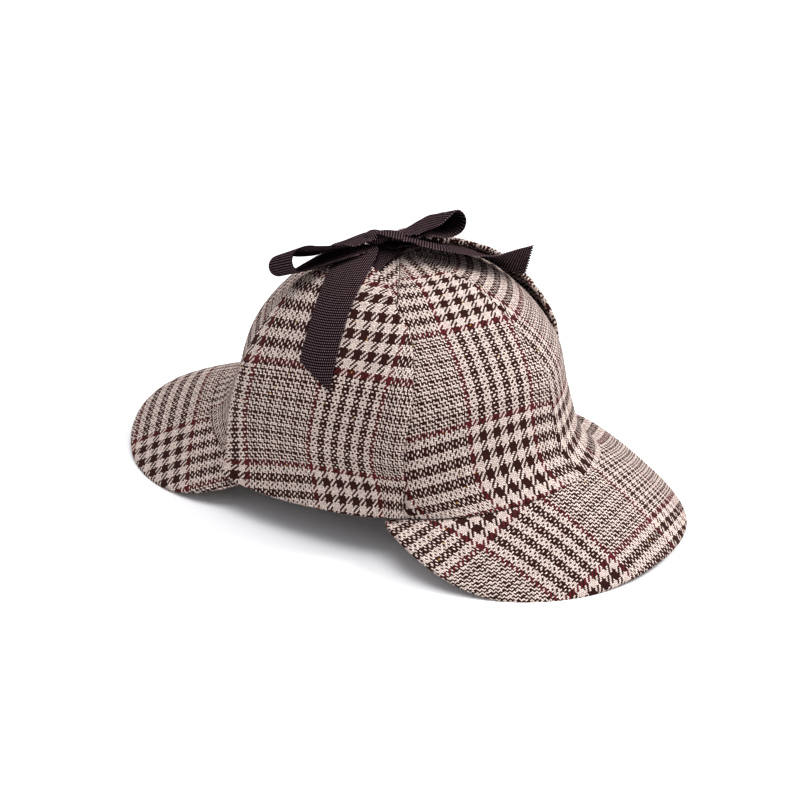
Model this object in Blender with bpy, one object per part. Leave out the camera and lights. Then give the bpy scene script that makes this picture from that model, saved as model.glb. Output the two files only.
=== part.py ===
"""A deerstalker hat with its ear flaps turned up and tied in a bow over the crown.

The front of the hat is -Y and the wearer's left is +X. The hat rests on its two peaks on z = 0, with
the origin under the middle of the crown. Angles run round the crown from the centre front, positive
towards the wearer's left. Sizes are in millimetres and become metres as the meshes are made.
"""
import math

import bmesh
import bpy
import numpy as np

MM = 0.001

# Driving sizes of the hat.
HAT_LENGTH = 305.0
CROWN_LENGTH = 214.0
CROWN_WIDTH = 153.0
CROWN_TOP = 122.0

# Height of the crown's lower edge: its mean, its arch over the peaks, how much the arch is flattened
# at the sides, and its rise towards the front.
EDGE_MEAN = 24.8
EDGE_ARCH = 6.0
EDGE_FLAT = 1.0
EDGE_RISE = 1.8

# Cloth and ribbon.
CROWN_WALL = 2.0
FLAP_WALL = 2.6
PEAK_WALL = 2.8
RIBBON_WALL = 1.0
RIBBON_WIDTH = 25.0
GAP = 0.35

# Gores: how far each dips in between its seams, as a share of its distance from the hat's axis, and
# the height at which they stop short of the crown's top, under the knot.
GORE_COUNT = 6
GORE_DIP = 0.036
POLE_HEIGHT = 0.9965

# Grid steps, across a piece and along it.
GORE_STEPS = (8, 18)
PEAK_STEPS = (28, 6)
FLAP_STEPS = (14, 14)
RIBBON_STEPS = (4, 14)
LOOP_STEPS = (4, 24)
KNOT_STEPS = (14, 8)

CLOTH = ("tweed", (0.30, 0.24, 0.21, 1.0), 0.95)
RIBBON = ("ribbon", (0.045, 0.030, 0.034, 1.0), 0.55)


def columns(names, *rows):
    """A table as a dict of its named columns."""
    return dict(zip(names.split(), np.array(rows, dtype=float).T))


# The crown's upright section, from its lower edge to the top. Height is a share of the rise from the
# edge to the top; front, back and width are shares of the crown's half sizes at the edge.
CROWN_SECTION = columns(
    "height front back width",
    (0.00, 1.000, 1.000, 1.000),
    (0.05, 0.920, 0.914, 1.006),
    (0.12, 0.870, 0.862, 1.012),
    (0.25, 0.838, 0.826, 1.012),
    (0.40, 0.816, 0.786, 0.995),
    (0.53, 0.790, 0.738, 0.955),
    (0.66, 0.712, 0.652, 0.862),
    (0.78, 0.595, 0.545, 0.738),
    (0.88, 0.468, 0.435, 0.590),
    (0.95, 0.325, 0.310, 0.395),
    (1.00, 0.000, 0.000, 0.000),
)

# Peaks. A peak reaches out from the crown's edge between plus and minus its half angle. Its reach
# falls from the centre as (1 - q**fade) ** blunt, where q is the angle as a share of the half angle,
# and its rim drops below the crown's edge by the sum of the drops, which go with q**0, q**2 and q**4.
PEAKS = {
    "front_peak": dict(facing=0.0, half_angle=66.9, fade=2.19, blunt=0.73, drops=(29.0, 28.5, -60.0)),
    "back_peak": dict(facing=180.0, half_angle=70.2, fade=2.52, blunt=1.00, drops=(18.6, 43.4, -31.4)),
}

# How far a peak bulges up, how far it still reaches at its corners, where its rim's fold starts (a
# share of its reach), and how far its weight presses the rim onto the table.
PEAK_CAMBER = 1.6
PEAK_TUCK = 1.5
PEAK_RIM = 0.95
REST_SETTLE = 0.6

# Ear flaps, a row for each level from the hem up to the tip. Each level runs from a front to a back
# height (shares of the crown's rise) and angle (degrees either side of the centre front), and stands
# off the crown by a gap in millimetres at its front edge, its middle and its back edge.
FLAP_NAMES = "front_height back_height front_angle back_angle front_gap middle_gap back_gap"
FLAPS = {
    "ear_flap_right": (-1, columns(
        FLAP_NAMES,
        (0.008, -0.034, 61.2, 116.0, 1.2, 0.6, 8.0),
        (0.150, 0.090, 57.4, 121.0, 1.4, 1.2, 6.0),
        (0.310, 0.300, 57.0, 127.0, 1.5, 1.6, 3.2),
        (0.500, 0.500, 54.8, 127.0, 1.6, 1.6, 2.0),
        (0.650, 0.650, 53.4, 128.0, 1.6, 1.6, 1.8),
        (0.800, 0.790, 52.8, 130.5, 1.6, 1.6, 1.8),
        (0.880, 0.870, 58.8, 134.0, 1.6, 1.6, 1.8),
        (0.930, 0.925, 64.0, 127.0, 1.6, 1.6, 1.8),
        (0.955, 0.955, 73.0, 116.0, 1.7, 1.7, 1.8),
        (0.966, 0.966, 87.0, 104.0, 1.8, 1.8, 1.8),
    )),
    "ear_flap_left": (1, columns(
        FLAP_NAMES,
        (0.008, -0.030, 61.2, 116.0, 1.2, 0.6, 7.0),
        (0.150, 0.100, 57.4, 120.0, 1.6, 1.2, 5.0),
        (0.310, 0.300, 56.0, 124.0, 1.6, 1.6, 3.0),
        (0.500, 0.500, 54.0, 126.0, 1.6, 1.6, 2.0),
        (0.650, 0.650, 52.6, 127.0, 2.4, 1.6, 1.8),
        (0.800, 0.790, 52.0, 128.0, 4.2, 1.6, 1.8),
        (0.880, 0.870, 56.0, 130.0, 4.4, 1.6, 1.8),
        (0.930, 0.925, 62.0, 124.0, 3.2, 1.6, 1.8),
        (0.955, 0.955, 73.0, 114.0, 2.0, 1.7, 1.8),
        (0.970, 0.970, 87.0, 102.0, 1.8, 1.8, 1.8),
    )),
}

# The bow's knot: its centre, its half sizes along the loops, across them and upright, and the heading
# of its length.
KNOT_CENTRE = np.array((-6.0, 10.5, 129.0))
KNOT_HALF = np.array((6.5, 7.0, 5.5))
KNOT_HEADING = -31.0

# Bow loops. A loop leaves the knot on a heading (degrees from +X), reaches out by its length, and is
# as deep as its height; droop is how far its end hangs below the knot and roll tips its far side down.
LOOPS = {
    "bow_loop_front": dict(heading=-31.0, length=42.5, height=12.5, droop=-4.0, roll=8.0),
    "bow_loop_back": dict(heading=146.0, length=48.0, height=10.0, droop=7.0, roll=-19.0),
}

# A loop's side view: out is a share of its length, rise a share of its half height, and width a
# share of the ribbon's.
LOOP_SECTION = columns(
    "out rise width",
    (0.00, -0.24, 0.45),
    (0.30, -0.34, 0.80),
    (0.66, -0.80, 1.00),
    (0.91, -0.76, 1.00),
    (1.00, 0.00, 1.00),
    (0.91, 0.76, 1.00),
    (0.66, 0.98, 1.00),
    (0.30, 0.62, 0.80),
    (0.00, 0.24, 0.45),
)

# The free tail that stands out over the front: its centre line, roll (far side down) and width.
FREE_TAIL = columns(
    "x y z roll width",
    (-3.6, 2.0, 126.0, 10.0, 8.0),
    (6.0, -12.5, 125.0, 10.0, 18.0),
    (16.0, -25.2, 122.2, 17.0, 24.0),
    (25.6, -35.6, 119.0, 28.0, 25.0),
    (33.2, -43.0, 117.2, 43.0, 25.0),
    (39.6, -49.0, 116.9, 53.0, 25.0),
)

# The tail that hangs over the near ear flap, from the knot down: centre line, its height off the
# crown's cloth, and its width; the last row's slant is how far the cut end runs on at its front edge.
HANGING_TAIL = columns(
    "x y z off width slant",
    (-11.5, 9.5, 122.0, 6.4, 10.0, 0.0),
    (-19.0, 8.6, 120.0, 5.2, 16.0, 0.0),
    (-31.0, 5.6, 116.0, 4.9, 22.0, 0.0),
    (-45.0, 2.0, 109.0, 4.8, 25.0, 0.0),
    (-57.0, -1.0, 99.0, 4.8, 25.0, 0.0),
    (-64.5, -3.0, 90.5, 4.8, 25.0, 13.0),
)

# The ribbon that joins each flap's tip to the knot, from under the flap to the knot.
ROOTS = {
    "ribbon_root_right": columns(
        "x y z off width",
        (-31.0, 1.0, 116.0, 0.4, 23.0),
        (-23.0, 2.0, 118.0, 0.4, 23.0),
        (-14.0, 4.5, 120.0, 0.6, 20.0),
        (-8.5, 7.5, 121.0, 1.2, 15.0),
    ),
    "ribbon_root_left": columns(
        "x y z off width",
        (31.0, 6.0, 116.0, 0.4, 23.0),
        (20.0, 7.0, 118.0, 0.4, 22.0),
        (8.0, 9.0, 121.0, 0.6, 18.0),
        (-1.0, 10.5, 122.0, 1.4, 14.0),
    ),
}


def spline(table, steps, crossing=()):
    """Catmull-Rom curves through a table's rows, sampled evenly from the first row to the last.

    Where the last row is the top of a section that runs on down its other side, crossing names the
    columns that change sign there.
    """
    count = len(next(iter(table.values())))
    at = np.linspace(0.0, count - 1.0, steps)
    row = np.minimum(at.astype(int), count - 2)
    t = at - row
    curves = {}
    for name, value in table.items():
        beyond = 2.0 * value[-1] - value[-2]
        if crossing:
            beyond = -value[-2] if name in crossing else value[-2]
        padded = np.concatenate([[2.0 * value[0] - value[1]], value, [beyond]])
        a, b, c, d = (padded[row + shift] for shift in range(4))
        curves[name] = 0.5 * (2.0 * b + (c - a) * t + (2.0 * a - 5.0 * b + 4.0 * c - d) * t ** 2
                              + (3.0 * b - a - 3.0 * c + d) * t ** 3)
    return curves


PROFILE = spline(CROWN_SECTION, 401, crossing=("front", "back", "width"))


def edge_height(angle):
    """Height of the crown's lower edge above the table."""
    return (EDGE_MEAN + EDGE_ARCH * np.cos(2.0 * angle) + EDGE_FLAT * np.cos(4.0 * angle)
            + EDGE_RISE * np.cos(angle))


def smooth_crown(angle, height):
    """A point of the crown's outer surface without its gores."""
    front, back, width = (np.interp(height, PROFILE["height"], PROFILE[name])
                          for name in ("front", "back", "width"))
    half_length = 0.5 * CROWN_LENGTH * np.where(np.cos(angle) > 0.0, front, back)
    half_width = 0.5 * CROWN_WIDTH * width
    edge = edge_height(angle)
    rise = edge + (CROWN_TOP - edge) * height
    return np.stack([half_width * np.sin(angle), -half_length * np.cos(angle), rise], axis=-1)


def crown_normal(angle, height):
    """The crown's outward unit normal."""
    step = 1e-3
    low = np.clip(height - step, 0.0, 0.997 - 2.0 * step)
    around = smooth_crown(angle + step, low) - smooth_crown(angle - step, low)
    upward = smooth_crown(angle, low + 2.0 * step) - smooth_crown(angle, low)
    normal = np.cross(around, upward)
    return normal / np.linalg.norm(normal, axis=-1, keepdims=True)


def crown_point(angle, height, off=0.0):
    """A point of the crown's cloth, off its outer surface; below the edge it runs straight down."""
    over = np.maximum(height, 0.0)
    dip = GORE_DIP * np.abs(np.sin(0.5 * GORE_COUNT * angle)) * np.minimum(3.0 * over, 1.0)
    point = smooth_crown(angle, over)
    point[..., :2] *= (1.0 - dip)[..., None]
    point[..., 2] += (CROWN_TOP - edge_height(angle)) * np.minimum(height, 0.0)
    return point + crown_normal(angle, over) * np.asarray(off)[..., None]


def lay_on_crown(points, off):
    """Points moved along rays from inside the crown until they lie off its outer surface."""
    heart = np.array((0.0, 0.0, 45.0))
    ray = points - heart
    near, far = np.zeros(points.shape[:-1]), np.full(points.shape[:-1], 3.0)
    for _ in range(40):
        middle = 0.5 * (near + far)
        trial = heart + ray * middle[..., None]
        angle, height = crown_place(trial)
        outside = np.linalg.norm(trial[..., :2], axis=-1) > np.linalg.norm(
            crown_point(angle, height)[..., :2], axis=-1)
        outside |= height >= 1.0
        far = np.where(outside, middle, far)
        near = np.where(outside, near, middle)
    angle, height = crown_place(heart + ray * near[..., None])
    return crown_point(angle, height, off)


def crown_place(points):
    """The angle and the height share of points near the crown."""
    angle = np.arctan2(points[..., 0] * CROWN_LENGTH, -points[..., 1] * CROWN_WIDTH)
    edge = edge_height(angle)
    return angle, np.clip((points[..., 2] - edge) / (CROWN_TOP - edge), 0.0, 1.0)


def shell(name, outer, inner, look):
    """A closed thin body between two grids of points that face the same way."""
    rows, cols = outer.shape[:2]
    mesh = bmesh.new()
    front = [[mesh.verts.new(point * MM) for point in row] for row in outer]
    back = [[mesh.verts.new(point * MM) for point in row] for row in inner]
    for i in range(rows - 1):
        for j in range(cols - 1):
            mesh.faces.new((front[i][j], front[i + 1][j], front[i + 1][j + 1], front[i][j + 1]))
            mesh.faces.new((back[i][j], back[i][j + 1], back[i + 1][j + 1], back[i + 1][j]))
    rim = [(i, 0) for i in range(rows)] + [(rows - 1, j) for j in range(1, cols)]
    rim += [(i, cols - 1) for i in range(rows - 2, -1, -1)] + [(0, j) for j in range(cols - 2, 0, -1)]
    for (i, j), (k, m) in zip(rim, rim[1:] + rim[:1]):
        mesh.faces.new((front[k][m], front[i][j], back[i][j], back[k][m]))
    return finish(name, mesh, look)


def finish(name, mesh, look):
    """The object of a bmesh, with its faces pointing out and its material."""
    bmesh.ops.triangulate(mesh, faces=mesh.faces)
    bmesh.ops.recalc_face_normals(mesh, faces=mesh.faces)
    data = bpy.data.meshes.new(name)
    mesh.to_mesh(data)
    mesh.free()
    data.shade_smooth()
    data.set_sharp_from_angle(angle=math.radians(40.0))
    data.materials.append(material(*look))
    body = bpy.data.objects.new(name, data)
    bpy.context.scene.collection.objects.link(body)
    return body


def material(name, colour, roughness):
    """A Principled material, made once for each name."""
    made = bpy.data.materials.get(name)
    if made is None:
        made = bpy.data.materials.new(name)
        made.use_nodes = True
        surface = made.node_tree.nodes["Principled BSDF"]
        surface.inputs["Base Color"].default_value = colour
        surface.inputs["Roughness"].default_value = roughness
        surface.inputs["Metallic"].default_value = 0.0
    return made


def crown_gore(name, index):
    """One of the crown's gores, whose long sides stop half a gap short of its seams."""
    span = 2.0 * math.pi / GORE_COUNT
    start = index * span
    across = np.linspace(0.0, 1.0, GORE_STEPS[0] + 1)[None, :]
    rows = np.linspace(0, len(PROFILE["height"]) - 1, GORE_STEPS[1] + 1).astype(int)
    level = np.minimum(PROFILE["height"][rows], POLE_HEIGHT)[:, None]
    step = 1e-3
    near_inset, far_inset = (
        0.5 * GAP * 2.0 * step
        / np.linalg.norm(smooth_crown(seam + step, level) - smooth_crown(seam - step, level), axis=-1)
        for seam in (start, start + span))
    angle = start + near_inset + (span - near_inset - far_inset) * across
    level = level + 0.0 * across
    return shell(name, crown_point(angle, level), crown_point(angle, level, -CROWN_WALL), CLOTH)


def peak(name, facing, half_angle, fade, blunt, drops):
    """A two-layer crescent that slopes down from the crown's edge, pressed flat where it rests."""
    q = np.linspace(-1.0, 1.0, PEAK_STEPS[0] + 1)[:, None]
    out = np.append(np.linspace(0.0, PEAK_RIM, PEAK_STEPS[1]), 1.0)[None, :]
    angle = math.radians(facing) + q * math.radians(half_angle)
    share = np.maximum(1.0 - np.abs(q) ** fade, 0.0) ** blunt
    reach = PEAK_TUCK + (0.5 * (HAT_LENGTH - CROWN_LENGTH) - PEAK_TUCK) * share
    drop = share * (drops[0] + drops[1] * q ** 2 + drops[2] * q ** 4)
    outward = np.stack([np.sin(angle) / CROWN_WIDTH, -np.cos(angle) / CROWN_LENGTH, 0.0 * angle], axis=-1)
    outward /= np.linalg.norm(outward, axis=-1, keepdims=True)
    top = crown_point(angle, 0.0 * angle) + outward * (GAP + (reach - GAP) * out)[..., None]
    top[..., 2] += 4.0 * PEAK_CAMBER * share * out * (1.0 - out) - drop * out - REST_SETTLE
    down = np.stack([-outward[..., 0] * drop, -outward[..., 1] * drop, -reach], axis=-1)
    bottom = top + PEAK_WALL * down / np.hypot(reach, drop)[..., None]
    pressed = bottom[:, -1, 2] < 0.0
    bottom[pressed, -2:, 2] = 0.0
    return shell(name, top, bottom, CLOTH)


def ear_flap(name, side, table):
    """A two-layer flap turned up against the crown."""
    level = {key: value[:, None] for key, value in spline(table, FLAP_STEPS[1] + 1).items()}
    u = np.linspace(0.0, 1.0, FLAP_STEPS[0] + 1)[None, :]
    angle = side * np.radians(level["front_angle"] + (level["back_angle"] - level["front_angle"]) * u)
    height = level["front_height"] + (level["back_height"] - level["front_height"]) * u
    gap = (level["front_gap"] * (1.0 - u) * (1.0 - 2.0 * u) + level["middle_gap"] * 4.0 * u * (1.0 - u)
           + level["back_gap"] * u * (2.0 * u - 1.0))
    gap = np.maximum(gap, GAP)
    return shell(name, crown_point(angle, height, gap + FLAP_WALL), crown_point(angle, height, gap), CLOTH)


def knot(name):
    """The pulled knot, an egg along the loops."""
    mesh = bmesh.new()
    bmesh.ops.create_uvsphere(mesh, u_segments=KNOT_STEPS[0], v_segments=KNOT_STEPS[1], radius=1.0)
    bmesh.ops.scale(mesh, vec=KNOT_HALF * MM, verts=mesh.verts)
    body = finish(name, mesh, RIBBON)
    body.rotation_euler.z = math.radians(KNOT_HEADING)
    return body


def strip(name, centre, heading, roll, width):
    """A ribbon along a line of centre points, level across but for its roll about its heading."""
    roll = np.radians(roll)
    across = np.stack([-np.sin(heading) * np.cos(roll), np.cos(heading) * np.cos(roll), -np.sin(roll)], axis=-1)
    share = np.linspace(-0.5, 0.5, RIBBON_STEPS[0] + 1)
    middle = centre[:, None, :] + across[:, None, :] * (width[:, None] * share)[..., None]
    tangent = np.gradient(centre, axis=0)
    face = np.cross(tangent, across)
    face /= np.linalg.norm(face, axis=-1, keepdims=True)
    half = 0.5 * RIBBON_WALL * face[:, None, :]
    return shell(name, middle + half, middle - half, RIBBON)


def bow_loop(name, heading, length, height, droop, roll):
    """A bow loop: out from the knot below, round its end, and back above."""
    row = spline(LOOP_SECTION, LOOP_STEPS[1] + 1)
    start = KNOT_HALF[0] + GAP
    out = start + (length - start) * row["out"]
    rise = 0.5 * height * row["rise"] - droop * row["out"] ** 2
    centre = np.stack([out, 0.0 * out, rise], axis=-1)
    body = strip(name, centre, 0.0 * out, roll + 0.0 * out, RIBBON_WIDTH * row["width"])
    body.rotation_euler.z = math.radians(heading)
    return body


def free_tail(name):
    """The tail that stands out from the knot and twists on its way."""
    row = spline(FREE_TAIL, RIBBON_STEPS[1] + 1)
    centre = np.stack([row["x"], row["y"], row["z"]], axis=-1)
    tangent = np.gradient(centre, axis=0)
    heading = np.arctan2(tangent[:, 1], tangent[:, 0])
    return strip(name, centre, heading, row["roll"], row["width"])


def laid_ribbon(name, table):
    """A ribbon that lies on the crown or on a flap, following its curve."""
    row = spline(table, RIBBON_STEPS[1] + 1)
    centre = np.stack([row["x"], row["y"], row["z"]], axis=-1)
    tangent = np.gradient(centre, axis=0)
    across = np.stack([-tangent[:, 1], tangent[:, 0], 0.0 * tangent[:, 0]], axis=-1)
    across /= np.linalg.norm(across, axis=-1, keepdims=True)
    share = np.linspace(-0.5, 0.5, RIBBON_STEPS[0] + 1)
    slant = row.get("slant", 0.0 * row["x"])[:, None] * (share + 0.5)
    line = tangent / np.linalg.norm(tangent, axis=-1, keepdims=True)
    points = centre[:, None, :] + across[:, None, :] * (row["width"][:, None] * share)[..., None]
    points += line[:, None, :] * slant[..., None]
    off = row["off"][:, None] + 0.0 * share
    return shell(name, lay_on_crown(points, off + RIBBON_WALL), lay_on_crown(points, off), RIBBON)


def main():
    """Build the hat."""
    for old in list(bpy.data.objects):
        bpy.data.objects.remove(old, do_unlink=True)

    gores = ("front_left", "side_left", "back_left", "back_right", "side_right", "front_right")
    for index, place in enumerate(gores):
        crown_gore("crown_gore_" + place, index)
    for name, sizes in PEAKS.items():
        peak(name, **sizes)
    for name, (side, table) in FLAPS.items():
        ear_flap(name, side, table)

    bow = bpy.data.objects.new("bow", None)
    bow.location = KNOT_CENTRE * MM
    bpy.context.scene.collection.objects.link(bow)
    knot("bow_knot").parent = bow
    for name, sizes in LOOPS.items():
        bow_loop(name, **sizes).parent = bow
    free_tail("ribbon_tail_left")
    laid_ribbon("ribbon_tail_right", HANGING_TAIL)
    for name, table in ROOTS.items():
        laid_ribbon(name, table)


main()
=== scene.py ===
"""A plaid tweed deerstalker: its sewn cloth, its ribbon bow, the table it rests on and the light.

The front of the hat is -Y and the wearer's left is +X. Shapes are worked out in millimetres on grids of
two parameters and become metres as the meshes are made. Angles run round the crown from the centre
front, positive towards the wearer's left.
"""
import math

import bpy
import numpy as np
from mathutils import Matrix


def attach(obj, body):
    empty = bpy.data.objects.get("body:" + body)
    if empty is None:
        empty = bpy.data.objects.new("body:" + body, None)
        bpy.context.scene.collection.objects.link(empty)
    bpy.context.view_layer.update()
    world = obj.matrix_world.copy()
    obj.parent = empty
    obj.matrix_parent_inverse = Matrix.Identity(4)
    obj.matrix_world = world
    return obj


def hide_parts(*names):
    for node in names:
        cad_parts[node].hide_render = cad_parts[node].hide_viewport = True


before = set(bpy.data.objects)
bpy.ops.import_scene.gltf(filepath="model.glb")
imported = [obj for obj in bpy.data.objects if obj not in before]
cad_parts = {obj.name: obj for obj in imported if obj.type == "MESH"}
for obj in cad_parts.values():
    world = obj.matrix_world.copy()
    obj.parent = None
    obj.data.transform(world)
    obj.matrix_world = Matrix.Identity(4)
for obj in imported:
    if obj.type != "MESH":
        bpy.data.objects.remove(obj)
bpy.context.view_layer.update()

MM = 0.001
# How far apart the two places lie that a slope is taken from, in radians or as a share of a height.
SLOPE_STEP = 1e-3


def columns(names, *rows):
    """A table as a dict of its named columns."""
    return dict(zip(names.split(), np.array(rows, dtype=float).T))


# ---------------------------------------------------------------------------------------------------
# Sizes of the hat
# ---------------------------------------------------------------------------------------------------

HAT_LENGTH, CROWN_LENGTH, CROWN_WIDTH, CROWN_TOP = 305.0, 214.0, 153.0, 122.0
CROWN_WALL, FLAP_WALL, PEAK_WALL = 2.0, 2.6, 2.8
# The crown's lower edge: its mean height, its waves of two and of four humps, and its tilt.
EDGE_MEAN, EDGE_ARCH, EDGE_FLAT, EDGE_RISE = 24.8, 6.0, 1.0, 1.8
# The gores: how many, how far one dips in between its seams as a share of its distance from the axis, how
# deep its dents are, the gap at a seam, and the share of the crown's height that its cloth ends at.
GORE_COUNT, GORE_DIP, GORE_DENTS, SEAM_GAP, POLE_HEIGHT = 6, 0.036, 0.35, 0.12, 0.9999
# How far each kind of piece runs round and up, and how wide the rounding of its edges is.
GORE_RUN, GORE_RISE, GORE_TURN = 85.0, 135.0, 0.9
PEAK_RUN, PEAK_REACH, PEAK_TURN = 200.0, 50.0, 1.3
FLAP_RUN, FLAP_RISE, FLAP_TURN = 90.0, 110.0, 1.2
# How far apart the lines of each grid are, and how many rows each table's curves are sampled at.
GORE_MESH, PEAK_MESH, FLAP_MESH_ROUND, FLAP_MESH_UP, RIBBON_MESH = 1.9, 1.6, 0.9, 1.7, 0.575
PROFILE_ROWS, FLAP_ROWS, LOOP_ROWS, TAIL_ROWS, LAID_ROWS = 401, 201, 161, 121, 81

# The crown's upright section from its lower edge to its top, as shares of its half sizes there.
CROWN_SECTION = columns(
    "height front back width",
    (0.00, 1.000, 1.000, 1.000),
    (0.05, 0.920, 0.914, 1.006),
    (0.12, 0.870, 0.862, 1.012),
    (0.25, 0.838, 0.826, 1.012),
    (0.40, 0.816, 0.786, 0.995),
    (0.53, 0.790, 0.738, 0.955),
    (0.66, 0.712, 0.652, 0.862),
    (0.78, 0.595, 0.545, 0.738),
    (0.88, 0.468, 0.435, 0.590),
    (0.95, 0.325, 0.310, 0.395),
    (1.00, 0.000, 0.000, 0.000),
)

# Where each peak faces and how far it runs to each side, in degrees; how its reach fades towards its
# corners; and its drop from its sewn edge to its rim, with what the square and the fourth power add to it.
PEAKS = {
    "front_peak": dict(facing=0.0, half_angle=66.9, fade=2.19, blunt=0.73, drops=(29.0, 28.5, -60.0)),
    "back_peak": dict(facing=180.0, half_angle=70.2, fade=2.52, blunt=1.00, drops=(18.6, 43.4, -31.4)),
}
# How far a peak arches up, its least reach, how far its sewn edge is tucked in and sunk under the crown's
# edge, how far its rim is pressed down, and how far its lowest points stay off the table.
PEAK_CAMBER, PEAK_TUCK, PEAK_INSET, PEAK_SINK, REST_SETTLE, TABLE_GAP = 1.6, 1.5, 1.2, 0.35, 0.6, 0.02

# The border along a flap's front edge: how far in its crease lies, how deep it is and how wide. Then the
# least gap that a flap keeps off the crown.
BORDER, BORDER_DEPTH, BORDER_CREASE, LEAST_GAP = 9.0, 0.9, 0.9, 0.35

# Each flap's side, and its levels from the hem to the tip: how high its front and back edges lie as shares
# of the crown's height, their angles, and its gaps off the crown at its front, its middle and its back.
FLAP_NAMES = "front_height back_height front_angle back_angle front_gap middle_gap back_gap"
FLAPS = {
    "ear_flap_right": (-1, columns(
        FLAP_NAMES,
        (0.008, -0.034, 61.2, 116.0, 1.2, 0.6, 8.0),
        (0.150, 0.090, 57.4, 121.0, 1.4, 1.2, 6.0),
        (0.310, 0.300, 57.0, 127.0, 1.5, 1.6, 3.2),
        (0.500, 0.500, 54.8, 127.0, 1.6, 1.6, 2.0),
        (0.650, 0.650, 53.4, 128.0, 1.6, 1.6, 1.8),
        (0.800, 0.790, 52.8, 130.5, 1.6, 1.6, 1.8),
        (0.880, 0.870, 58.8, 134.0, 1.6, 1.6, 1.8),
        (0.930, 0.925, 64.0, 127.0, 1.6, 1.6, 1.8),
        (0.955, 0.955, 73.0, 116.0, 1.7, 1.7, 1.8),
        (0.966, 0.966, 87.0, 104.0, 1.8, 1.8, 1.8),
    )),
    "ear_flap_left": (1, columns(
        FLAP_NAMES,
        (0.008, -0.030, 61.2, 116.0, 1.2, 0.6, 7.0),
        (0.150, 0.100, 57.4, 120.0, 1.6, 1.2, 5.0),
        (0.310, 0.300, 56.0, 124.0, 1.6, 1.6, 3.0),
        (0.500, 0.500, 54.0, 126.0, 1.6, 1.6, 2.0),
        (0.650, 0.650, 52.6, 127.0, 2.4, 1.6, 1.8),
        (0.800, 0.790, 52.0, 128.0, 4.2, 1.6, 1.8),
        (0.880, 0.870, 56.0, 130.0, 4.4, 1.6, 1.8),
        (0.930, 0.925, 62.0, 124.0, 3.2, 1.6, 1.8),
        (0.955, 0.955, 73.0, 114.0, 2.0, 1.7, 1.8),
        (0.970, 0.970, 87.0, 102.0, 1.8, 1.8, 1.8),
    )),
}

RIBBON_WIDTH, RIBBON_WALL, RIBBON_TURN = 25.0, 0.7, 0.35
KNOT_CENTRE = np.array((-6.0, 10.5, 129.0))
KNOT_HALF = np.array((5.5, 5.76, 3.072))
KNOT_HEADING, KNOT_FOLDS, KNOT_SWELL = -31.0, 7.0, 0.05

# Each loop's heading, the heading that its sides are square to, and its rows, the lower ones first: how
# far out along its heading and how far above the middle of the knot they lie, their width as a share of the
# ribbon's, and their roll.
LOOP_NAMES = "out rise width roll"
LOOPS = {
    "bow_loop_front": (-31.0, -31.0, columns(
        LOOP_NAMES,
        (5.0, -1.6, 0.45, 14.0),
        (16.0, -2.4, 0.85, 16.0),
        (23.3, -0.9, 1.00, 10.0),
        (30.7, -0.7, 1.00, 0.0),
        (36.7, -0.5, 1.00, 0.0),
        (40.6, 0.8, 1.00, 4.0),
        (42.2, 3.4, 1.00, 11.0),
        (40.9, 6.0, 1.00, 19.0),
        (37.6, 6.9, 1.00, 24.0),
        (33.0, 5.3, 1.00, 18.0),
        (28.0, 2.8, 1.00, 15.0),
        (17.0, -0.6, 0.90, 16.0),
        (5.0, 0.9, 0.50, 12.0),
    )),
    "bow_loop_back": (146.0, 158.0, columns(
        LOOP_NAMES,
        (4.0, -4.2, 0.60, -8.0),
        (15.0, -5.6, 0.95, -12.0),
        (23.0, -7.6, 1.00, -15.0),
        (29.0, -9.3, 1.00, -18.0),
        (34.0, -10.9, 1.00, -21.0),
        (39.0, -12.2, 1.00, -24.0),
        (43.5, -12.6, 1.00, -25.0),
        (46.8, -10.6, 1.00, -25.0),
        (48.0, -6.8, 1.00, -25.0),
        (46.6, -3.2, 1.00, -26.0),
        (43.0, -1.4, 1.00, -27.5),
        (39.0, -1.3, 1.00, -28.5),
        (34.0, -2.6, 1.00, -30.0),
        (25.0, -3.4, 1.00, -29.0),
        (19.5, -2.8, 0.98, -25.0),
        (15.8, -2.1, 0.92, -17.0),
        (10.0, -0.8, 0.75, -15.0),
        (1.0, 1.2, 0.45, -4.0),
    )),
}
# The centre lines of the tails and of the bands that hold the flaps up. off is a ribbon's height above the
# crown, and slant is how much further one side of its end reaches than the other.
FREE_TAIL = columns(
    "x y z roll width",
    (-8.0, 8.0, 132.4, 6.0, 5.0),
    (-5.0, 4.0, 132.0, 9.0, 14.0),
    (-1.0, -2.0, 130.6, 12.0, 22.0),
    (4.0, -9.5, 128.2, 13.0, 25.0),
    (10.0, -18.0, 125.3, 14.0, 25.0),
    (16.0, -25.2, 123.2, 14.0, 25.0),
    (21.0, -31.0, 121.3, 17.0, 25.0),
    (25.6, -35.6, 119.3, 24.0, 25.0),
    (29.5, -39.5, 117.8, 36.0, 25.0),
    (33.2, -43.0, 116.8, 46.0, 25.0),
    (37.0, -46.5, 116.4, 52.0, 25.0),
    (39.6, -49.0, 116.4, 55.0, 25.0),
)
HANGING_TAIL = columns(
    "x y z off width slant",
    (-8.0, 12.0, 123.0, 5.0, 9.0, 0.0),
    (-13.0, 12.0, 122.2, 5.2, 16.0, 0.0),
    (-21.8, 11.0, 120.0, 4.9, 22.0, 0.0),
    (-32.8, 8.0, 116.0, 4.9, 24.5, 0.0),
    (-46.8, 4.4, 109.0, 4.8, 25.0, 0.0),
    (-58.8, 1.4, 98.5, 4.8, 25.0, 0.0),
    (-66.5, -0.6, 88.5, 4.8, 25.0, 13.0),
)
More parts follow.
